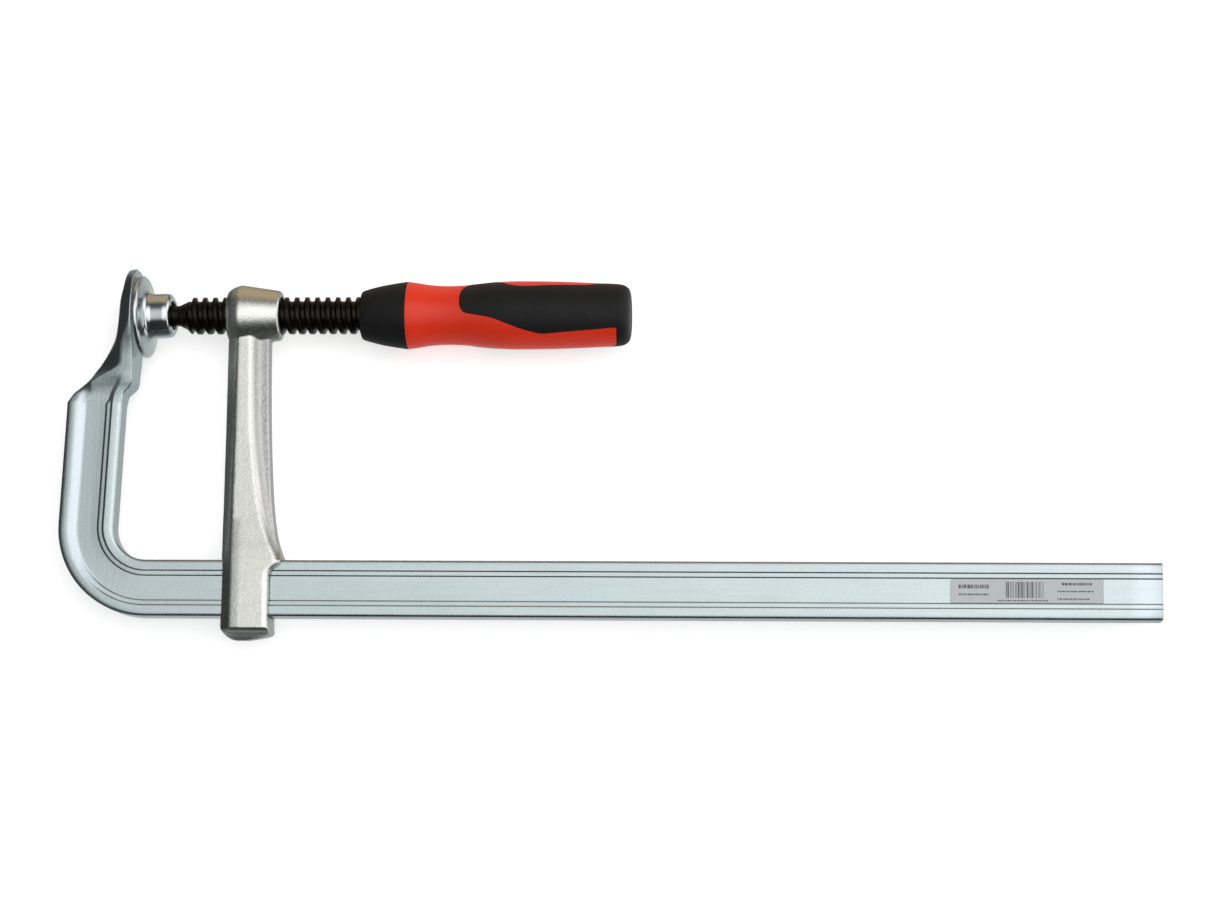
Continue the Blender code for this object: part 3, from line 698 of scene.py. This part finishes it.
def make_arm():
    """Arm and boss in one forging: joined, melted together by a fine remesh, then bored and slotted."""
    arm = new_object("sliding_arm_forging", *skin([arm_loop(*row) for row in between(ARM, 5)]), FORGING)
    boolean(arm, new_object("boss", *turned(rounded_profile(BOSS, 0.8), 96), FORGING), "UNION")
    remesh = arm.modifiers.new("remesh", "REMESH")
    remesh.mode = "VOXEL"
    remesh.voxel_size = VOXEL * MM
    apply_modifiers(arm)
    relax = arm.modifiers.new("relax", "SMOOTH")
    relax.factor = 0.5
    relax.iterations = RELAX_PASSES
    apply_modifiers(arm)
    left, right = CUT_X
    bore = [(left, 0), (left, BORE_R), (right, BORE_R), (right, 0)]
    boolean(arm, new_object("bore", *turned(bore, 96), None))
    half = RAIL_HALF_THICKNESS + SLOT_CLEARANCE
    low = (left, RAIL_INNER_Y - RAIL_WIDTH - SLOT_CLEARANCE, -half)
    boolean(arm, box_cutter(low, (right, RAIL_INNER_Y + SLOT_CLEARANCE, half)))
    arm.data.materials.clear()
    arm.data.materials.append(FORGING)
    smooth(arm, 38.0)
    return place(arm, "arm", ["sliding_arm"])


# ---------------------------------------------------------------- spindle

THREAD_FROM = 21.0
THREAD_TO = 112.2
THREAD_COLUMNS = 72
THREAD_SAMPLES = 20
# The rounded trapezoid's root and flank, as shares of the pitch
ROOT_SHARE = 0.30
FLANK_SHARE = 0.19
# x and radius that the thread may not stand out of: its run-out into the neck and its chamfer at the far end
ENVELOPE = (
    (0.0, 4.6),
    (20.2, 4.6),
    (21.0, 5.2),
    (24.2, 6.7),
    (26.6, 9.2),
    (110.2, 9.2),
    (112.2, 7.2),
    (113.0, 6.4),
    (900.0, 6.4),
)
TANG_R = 6.8
TANG_END_X = 205.0


def thread_radius(share):
    """Radius of a rounded trapezoid thread at a share of its pitch."""
    rise = (share - ROOT_SHARE) / FLANK_SHARE
    fall = (1.0 - share) / FLANK_SHARE
    level = min(1.0, max(0.0, min(rise, fall)))
    level = level * level * (3 - 2 * level)
    return ROOT_R + (CREST_R - ROOT_R) * level


def radius_at(points, x):
    """Radius at x on a line through (x, r) points."""
    for (x0, r0), (x1, r1) in zip(points, points[1:]):
        if x <= x1:
            return r0 + (r1 - r0) * max(0.0, (x - x0) / (x1 - x0))
    return points[-1][1]


def make_thread():
    """One skin wound round the axis: each column starts a share of the pitch further along."""
    first = THREAD_FROM - 6.5
    turns = math.ceil((THREAD_TO + 6 - first) / PITCH)
    rows = turns * THREAD_SAMPLES
    vertices = []
    for row in range(rows):
        crest = thread_radius((row % THREAD_SAMPLES) / THREAD_SAMPLES)
        for i in range(THREAD_COLUMNS):
            turn = 2 * math.pi * i / THREAD_COLUMNS
            x = first + PITCH * (row / THREAD_SAMPLES + i / THREAD_COLUMNS)
            r = min(crest, radius_at(ENVELOPE, x))
            vertices.append((x, r * math.cos(turn), r * math.sin(turn)))
    faces = []
    for row in range(rows - 1):
        for i in range(THREAD_COLUMNS):
            a = row * THREAD_COLUMNS + i
            b = a + 1
            if i == THREAD_COLUMNS - 1:
                # the last column meets the first one a whole pitch further along
                b = (row + THREAD_SAMPLES) * THREAD_COLUMNS
                if row + THREAD_SAMPLES + 1 >= rows:
                    continue
            faces.append((a, b, b + THREAD_COLUMNS, a + THREAD_COLUMNS))
    thread = new_object("spindle_thread", vertices, faces, OXIDE, 50.0)
    return place(thread, "screw", ["spindle"])


def make_shank():
    """The ball, the neck, the core under the thread and the tang inside the handle."""
    meet = math.asin(NECK_R / BALL_R)
    steps = 24
    ball = [(BALL_X - BALL_R, 0.0)]
    for step in range(1, steps + 1):
        turn = (math.pi - meet) * step / steps
        ball.append((BALL_X - BALL_R * math.cos(turn), BALL_R * math.sin(turn)))
    outside = [
        (ball[-1][0] + 0.2, NECK_R),
        (THREAD_FROM - 0.8, NECK_R),
        (THREAD_FROM + 0.6, 5.35),
        (THREAD_FROM + 3.6, 6.75),
        (THREAD_FROM + 5.2, 6.6),
        (THREAD_TO + 0.2, 6.6),
        (THREAD_TO + 0.6, TANG_R),
        (TANG_END_X - 1.0, TANG_R),
        (TANG_END_X, TANG_R - 1.0),
        (TANG_END_X, 0.0),
    ]
    profile = ball + rounded_profile(outside, 0.8)
    shank = new_object("spindle_neck_and_ball", *turned(profile, 96), OXIDE, 35.0)
    return place(shank, "screw", ["spindle"])


# ---------------------------------------------------------------- pressure plate and ring

# (x, r) of the plate from its face to its collar's end; x is from the fixed jaw's face
PLATE = (
    (2.1, 0.0),
    (2.1, 19.95),
    (3.9, 19.95),
    (4.5, 18.2),
    (5.0, 15.4),
    (5.5, 13.2),
    (6.4, 11.7),
    (8.2, 10.9),
    (14.6, 10.8),
    (16.5, 10.4),
    (17.5, 8.9),
    (17.5, MOUTH_R),
)
SOCKET_FLOOR_X = 5.1


def arc(centre, radius, start_deg, end_deg, steps=12):
    """(x, r) points on a circle about a point of the axis; 0 degrees points along +X."""
    points = []
    for step in range(steps + 1):
        turn = math.radians(start_deg + (end_deg - start_deg) * step / steps)
        points.append((centre + radius * math.cos(turn), radius * math.sin(turn)))
    return points


def make_plate():
    """Disc and socket collar, leaning on the ball."""
    mouth = math.degrees(math.asin(MOUTH_R / SOCKET_R))
    socket = arc(BALL_X, SOCKET_R, mouth, 90)
    profile = rounded_profile([*PLATE, socket[0]], 0.7, 6) + socket[1:]
    profile += [(SOCKET_FLOOR_X + 0.6, SOCKET_R), (SOCKET_FLOOR_X, SOCKET_R - 0.6), (SOCKET_FLOOR_X, 0.0)]
    plate = new_object("pressure_plate_turned", *turned(profile, 160), BRIGHT, 40.0)
    ball = Vector((BALL_X, 0.0, 0.0)) * MM
    aside = Matrix.Rotation(math.radians(PLATE_LEAN_Z), 4, "Z")
    down = Matrix.Rotation(math.radians(PLATE_LEAN_Y), 4, "Y")
    plate.data.transform(Matrix.Translation(ball) @ aside @ down @ Matrix.Translation(-ball))
    return place(plate, "plate", ["pressure_plate"])


def make_ring():
    """The ring that lies between the ball and the socket."""
    outer = arc(BALL_X, SOCKET_R - 0.3, 85, 56)
    inner = arc(BALL_X, BALL_R + 0.3, 57, 84)
    front = BALL_X + 4.4
    profile = outer + [(front, 6.2), (front, inner[0][1])] + inner
    ring = new_object("retaining_ring_split", *turned(profile, 96), SPRING, 35.0)
    return place(ring, "swivel_ring", ["retaining_ring"])


# ---------------------------------------------------------------- handle

# (x, r) of the whole handle's outside, from the front collar's nose to the end cap
HANDLE = (
    (109.8, 11.0),
    (111.2, 12.1),
    (118.6, 14.1),
    (125.0, 15.3),
    (129.6, 16.0),
    (132.2, 16.3),
    (136.0, 15.9),
    (142.0, 14.9),
    (148.0, 14.4),
    (153.5, 14.3),
    (160.0, 14.6),
    (167.0, 15.3),
    (175.0, 16.1),
    (183.0, 16.5),
    (192.0, 16.5),
    (205.0, 16.3),
    (218.0, 15.8),
    (228.0, 15.3),
    (234.0, 14.9),
    (237.0, 14.2),
    (239.0, 12.6),
    (239.7, 10.6),
)
HANDLE_FINE = between(HANDLE, 8)
CORE_START_X = 112.9
CORE_END_X = 238.2
WALL = 1.0
GRIP_COLUMNS = 72
GRIP_SOFT = 0.45
# x, lower edge and upper edge of the front grip panel, in degrees from +Z towards +Y
GRIP_EDGES = (
    (158.0, 14.0, 30.0),
    (158.4, 6.0, 40.0),
    (159.2, -1.0, 50.0),
    (160.5, -6.0, 60.0),
    (163.0, -9.0, 78.0),
    (167.0, -11.5, 86.0),
    (173.2, -15.7, 83.0),
    (178.0, -21.5, 66.0),
    (182.0, -27.0, 54.0),
    (187.0, -34.0, 49.0),
    (193.0, -41.0, 48.8),
    (198.5, -45.0, 51.0),
    (205.3, -43.0, 53.0),
    (213.0, -41.0, 55.0),
    (219.5, -39.4, 57.5),
    (226.0, -37.8, 70.0),
    (231.0, -36.4, 86.0),
    (232.6, -36.2, 96.0),
    (233.2, -36.6, 110.0),
    (233.5, -38.0, 142.0),
)


def handle_body(start, end, drop=0.0):
    """The handle's outside from start to end, lowered by drop."""
    inside = [(x, r - drop) for x, r in HANDLE_FINE if start + 0.05 < x < end - 0.05]
    ends = [(x, radius_at(HANDLE_FINE, x) - drop) for x in (start, end)]
    return [ends[0], *inside, ends[1]]


def make_handle_core():
    """The red core: its front runs inside the collar, its back inside the cap."""
    shoulder = COLLAR_END_X + 0.3
    profile = [(CORE_START_X, 0.0), (CORE_START_X, NOSE_R - 0.5), (CORE_START_X + 0.5, NOSE_R)]
    profile += [(shoulder, NOSE_R), *handle_body(shoulder, CORE_END_X, 0.1), (CORE_END_X, 0.0)]
    core = new_object("handle_core_moulded", *turned(profile, 160), RED, 35.0)
    return place(core, "screw", ["handle_core"])


def make_front_collar():
    """The black collar: a cup over the core's front, open round the spindle."""
    start = HANDLE[0][0]
    floor = start + 2.6
    profile = [(start, 9.7), *handle_body(start, COLLAR_END_X), (COLLAR_END_X, NOSE_R + 0.3)]
    profile += [(floor, NOSE_R + 0.3), (floor, 9.3), (start + 0.4, 9.3)]
    collar = new_object("handle_front_collar_moulded", *turned(profile, 160), BLACK, 35.0)
    return place(collar, "screw", ["handle_front_collar"])


def edge_dip(lines, x, turn, radius):
    """How far the skin dips at a point of it, to round the edges that the (x, angle) lines follow."""
    here = Vector((x, turn * radius))
    near = abs(x - lines[0][0][0])
    for line in lines:
        for (x0, t0), (x1, t1) in zip(line, line[1:]):
            if min(x0, x1) - 1.0 > x or max(x0, x1) + 1.0 < x:
                continue
            start = Vector((x0, t0 * radius))
            span = Vector((x1, t1 * radius)) - start
            share = max(0.0, min(1.0, (here - start).dot(span) / max(1e-9, span.length_squared)))
            near = min(near, (start + span * share - here).length)
    if near >= GRIP_SOFT:
        return 0.0
    return GRIP_SOFT - math.sqrt(max(0.0, GRIP_SOFT**2 - (GRIP_SOFT - near) ** 2))


def grip_half(panel, cap, half_turn):
    """One panel with its half of the cap, turned by half_turn, and walls from its edges into the core."""
    lines = [[(row[0], math.radians(row[k])) for row in panel] for k in (1, 2)]
    width = GRIP_COLUMNS + 1
    vertices = []
    faces = []
    for index, (x, low, high) in enumerate(panel + cap):
        radius = radius_at(HANDLE_FINE, x)
        for j in range(width):
            even = j / GRIP_COLUMNS
            # points crowd towards the panel's edges, where the skin is rounded
            share = 0.5 - 0.5 * math.cos(math.pi * even) if index < len(panel) else even
            turn = math.radians(low + (high - low) * 0.5 * (share + even))
            r = radius
            if x < panel[-1][0] + 0.5:
                r -= edge_dip(lines, x, turn, radius)
            vertices.append((x, r * math.sin(turn + half_turn), r * math.cos(turn + half_turn)))
    for index in range(len(panel + cap) - 1):
        for j in range(GRIP_COLUMNS):
            a = index * width + j
            faces.append((a, a + 1, a + 1 + width, a + width))
    front = list(range(width))
    lower = [index * width for index in range(len(panel))]
    upper = [index * width + GRIP_COLUMNS for index in range(len(panel))]
    for line in (front, lower, upper):
        foot = len(vertices)
        for v in line:
            x, y, z = vertices[v]
            share = 1 - WALL / math.hypot(y, z)
            vertices.append((x, y * share, z * share))
        for i, (a, b) in enumerate(zip(line, line[1:])):
            faces.append((a, b, foot + i + 1, foot + i))
    return vertices, faces


def grip_end(row):
    """The flat end of the cap at its last row."""
    x, low, _ = row
    vertices = [(x, 0.0, 0.0)]
    faces = []
    count = 2 * GRIP_COLUMNS
    for radius in (HANDLE[-1][1], HANDLE[-1][1] * 0.96):
        for j in range(count):
            turn = math.radians(low) + 2 * math.pi * j / count
            vertices.append((x, radius * math.sin(turn), radius * math.cos(turn)))
    for i in range(count):
        a = 1 + i
        b = 1 + (i + 1) % count
        faces += [(a, b, b + count, a + count), (a + count, b + count, 0)]
    return vertices, faces


def make_grip():
    """Both panels and the end cap as one skin.

    One half follows the panel's edges, the other is the same turned through 180 degrees, and they join where
    the panel widens into the cap."""
    panel = between(GRIP_EDGES, 6)
    x, low, _ = panel[-1]
    panel.append([x + 0.15, low, low + 180.0])
    cap = [[cap_x, low, low + 180.0] for cap_x, _ in HANDLE_FINE if cap_x > x + 0.25]
    vertices = []
    faces = []
    for some in (grip_half(panel, cap, 0.0), grip_half(panel, cap, math.pi), grip_end(cap[-1])):
        base = len(vertices)
        vertices += some[0]
        faces += [tuple(base + v for v in face) for face in some[1]]
    grip = new_object("handle_grip_overmould", vertices, faces, BLACK, 50.0)
    return place(grip, "screw", ["handle_grip"])


# ---------------------------------------------------------------- label

LABEL_X = (391.9, 463.4)
LABEL_HALF = 5.6
FLUTE_FLOOR_Z = 5.5
LABEL_LIFT = 0.06
LABEL_THICKNESS = 0.12
# The print's lowest and highest point above the label's underside
PRINT_Z = (0.1, 0.135)
# Bars: start and end along the label, low and high across it, and the widths and gaps to choose from
BARS = (26.0, 44.0, -3.2, 4.4)
BAR_WIDTHS = (0.25, 0.25, 0.45, 0.7)
BAR_GAPS = (0.3, 0.45, 0.7)
# Rows of dashes that stand for the print: start and end along the label, low and high across it
DASH_ROWS = (
    (22.0, 46.0, -4.8, -4.2),
    (4.0, 18.0, 1.2, 3.0),
    (4.0, 18.0, -2.0, -1.2),
    (52.0, 66.0, 2.8, 4.0),
    (50.0, 67.0, -0.4, 0.3),
    (50.0, 65.0, -4.0, -3.3),
)


def print_blocks():
    """(start, end, low, high) of every printed bar and dash on the label."""
    blocks = []
    x, end, low, high = BARS
    while x < end:
        width = rng.choice(BAR_WIDTHS)
        blocks.append((x, x + width, low, high))
        x += width + rng.choice(BAR_GAPS)
    for start, end, low, high in DASH_ROWS:
        x = start
        while x < end:
            width = rng.uniform(0.5, 1.5)
            blocks.append((x, min(x + width, end), low, high))
            x += width + rng.uniform(0.25, 0.5)
    return blocks


def make_label():
    """The foil in the rail's flute, and its print as thin raised blocks."""
    left, right = LABEL_X
    bottom = FLUTE_FLOOR_Z + LABEL_LIFT
    corners = [(left, -LABEL_HALF), (right, -LABEL_HALF), (right, LABEL_HALF), (left, LABEL_HALF)]
    outline = rounded(corners, [0.8] * 4)
    loops = [[(x, RAIL_CENTRE_Y + y, bottom + z) for x, y in outline] for z in (0.0, LABEL_THICKNESS)]
    place(new_object("rail_label_foil", *skin(loops), FOIL, 30.0), "frame", ["rail_label"])
    vertices = []
    faces = []
    for start, end, low, high in print_blocks():
        a = len(vertices)
        for z in PRINT_Z:
            for x, y in ((start, low), (end, low), (end, high), (start, high)):
                vertices.append((left + x, RAIL_CENTRE_Y + y, bottom + z))
        faces += [(a + 3, a + 2, a + 1, a), (a + 4, a + 5, a + 6, a + 7)]
        for i in range(4):
            j = (i + 1) % 4
            faces.append((a + i, a + j, a + 4 + j, a + 4 + i))
    place(new_object("rail_label_print", vertices, faces, INK, 30.0), "frame", [])


make_rail()
make_arm()
make_thread()
make_shank()
make_plate()
make_ring()
make_handle_core()
make_front_collar()
make_grip()
make_label()

# ---------------------------------------------------------------- floor, light, camera

FLOOR_REACH = 4.0
FLOOR_GAP = 0.0002
# The floor glows evenly as far as this from its middle along each axis, and then fades out
GLOW_HALF = (("X", 0.33), ("Y", 0.27))
GLOW_FADE = 0.35
GLOW = 0.55


def floor_paint():
    """Matt white that glows a little under the clamp and less so away from it."""
    paint = bpy.data.materials.new("floor_paint")
    paint.use_nodes = True
    tree = paint.node_tree
    shader = tree.nodes["Principled BSDF"]
    shader.inputs["Base Color"].default_value = (0.9, 0.9, 0.9, 1)
    shader.inputs["Roughness"].default_value = 0.9
    shader.inputs["Specular IOR Level"].default_value = 0.1
    shader.inputs["Emission Color"].default_value = (1, 1, 1, 1)
    split = tree.nodes.new("ShaderNodeSeparateXYZ")
    tree.links.new(tree.nodes.new("ShaderNodeTexCoord").outputs["Object"], split.inputs[0])
    falls = []
    for (axis, half), most in zip(GLOW_HALF, (GLOW, 1.0)):
        size = tree.nodes.new("ShaderNodeMath")
        size.operation = "ABSOLUTE"
        tree.links.new(split.outputs[axis], size.inputs[0])
        fall = tree.nodes.new("ShaderNodeMapRange")
        fall.interpolation_type = "SMOOTHSTEP"
        fall.inputs["From Min"].default_value = half
        fall.inputs["From Max"].default_value = half + GLOW_FADE
        fall.inputs["To Min"].default_value = most
        fall.inputs["To Max"].default_value = 0.0
        tree.links.new(size.outputs[0], fall.inputs["Value"])
        falls.append(fall.outputs["Result"])
    product = tree.nodes.new("ShaderNodeMath")
    product.operation = "MULTIPLY"
    for source, socket in zip(falls, product.inputs):
        tree.links.new(source, socket)
    tree.links.new(product.outputs[0], shader.inputs["Emission Strength"])
    return paint


def make_floor():
    """A white table just under the clamp, hidden from mirror rays, so the metals reflect only the sky."""
    low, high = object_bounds()
    data = bpy.data.meshes.new("floor")
    ends = (-FLOOR_REACH, FLOOR_REACH)
    data.from_pydata([(x, y, 0.0) for y in ends for x in ends], [], [(0, 1, 3, 2)])
    data.materials.append(floor_paint())
    floor = bpy.data.objects.new("floor", data)
    bpy.context.scene.collection.objects.link(floor)
    floor.location = (0.5 * (low[0] + high[0]), 0.5 * (low[1] + high[1]), low[2] - FLOOR_GAP)
    floor.visible_glossy = False


SKY_BASE = (0.13, 0.135, 0.14)
# Lobes over it: direction, the two cosines between which each fades in, and its colour
SKY = (
    ((0.0, 0.0, -1.0), 0.50, 0.92, (0.66, 0.70, 0.71)),
    ((0.10, -0.30, 0.95), 0.88, 0.975, (1.25, 1.27, 1.28)),
    ((0.24, 0.10, 0.965), 0.71, 0.985, (1.78, 1.79, 1.80)),
    ((0.32, 0.20, 0.93), 0.935, 0.995, (2.35, 2.28, 2.38)),
    ((1.0, 0.1, 0.05), 0.62, 0.92, (1.8, 1.8, 1.8)),
    ((-1.0, 0.1, -0.15), 0.60, 0.85, (0.06, 0.06, 0.06)),
    ((0.0, -0.93, 0.36), 0.66, 0.88, (0.04, 0.043, 0.043)),
    ((0.0, 1.0, -0.05), 0.74, 0.95, (0.66, 0.52, 0.34)),
)


def make_world():
    """A soft tent: bright overhead and to the right, dim to the left and in front, warm behind."""
    world = bpy.data.worlds.new("studio")
    bpy.context.scene.world = world
    world.use_nodes = True
    tree = world.node_tree
    coords = tree.nodes.new("ShaderNodeTexCoord").outputs["Generated"]
    colour = None
    for direction, start, end, lobe in SKY:
        dot = tree.nodes.new("ShaderNodeVectorMath")
        dot.operation = "DOT_PRODUCT"
        tree.links.new(coords, dot.inputs[0])
        dot.inputs[1].default_value = Vector(direction).normalized()
        span = tree.nodes.new("ShaderNodeMapRange")
        span.interpolation_type = "SMOOTHSTEP"
        span.inputs["From Min"].default_value = start
        span.inputs["From Max"].default_value = end
        tree.links.new(dot.outputs["Value"], span.inputs["Value"])
        mix = tree.nodes.new("ShaderNodeMix")
        mix.data_type = "RGBA"
        tree.links.new(span.outputs["Result"], mix.inputs["Factor"])
        a, b = [s for s in mix.inputs if s.type == "RGBA"]
        if colour is None:
            a.default_value = (*SKY_BASE, 1)
        else:
            tree.links.new(colour, a)
        b.default_value = (*lobe, 1)
        colour = [s for s in mix.outputs if s.type == "RGBA"][0]
    tree.links.new(colour, tree.nodes["Background"].inputs["Color"])


# The camera's right, up and back, its place in metres and its lens in mm on a 36 mm sensor
CAMERA_AXES = ((0.99699, 0.01378, -0.07620), (-0.00110, 0.98653, 0.16364), (0.07747, -0.16313, 0.98353))
CAMERA_PLACE = (0.35402, -0.33120, 1.58489)
CAMERA_LENS = 100.08
CAMERA_SENSOR = 36.0


def make_camera():
    """Almost straight above the clamp, a little in front of it."""
    data = bpy.data.cameras.new("camera")
    camera = bpy.data.objects.new("camera", data)
    bpy.context.scene.collection.objects.link(camera)
    bpy.context.scene.camera = camera
    data.sensor_fit = "HORIZONTAL"
    data.sensor_width = CAMERA_SENSOR
    data.lens = CAMERA_LENS
    data.clip_end = 20.0
    camera.matrix_world = Matrix.Translation(CAMERA_PLACE) @ Matrix(CAMERA_AXES).transposed().to_4x4()


make_floor()
make_world()
make_camera()
bpy.context.scene.view_settings.view_transform = "Standard"
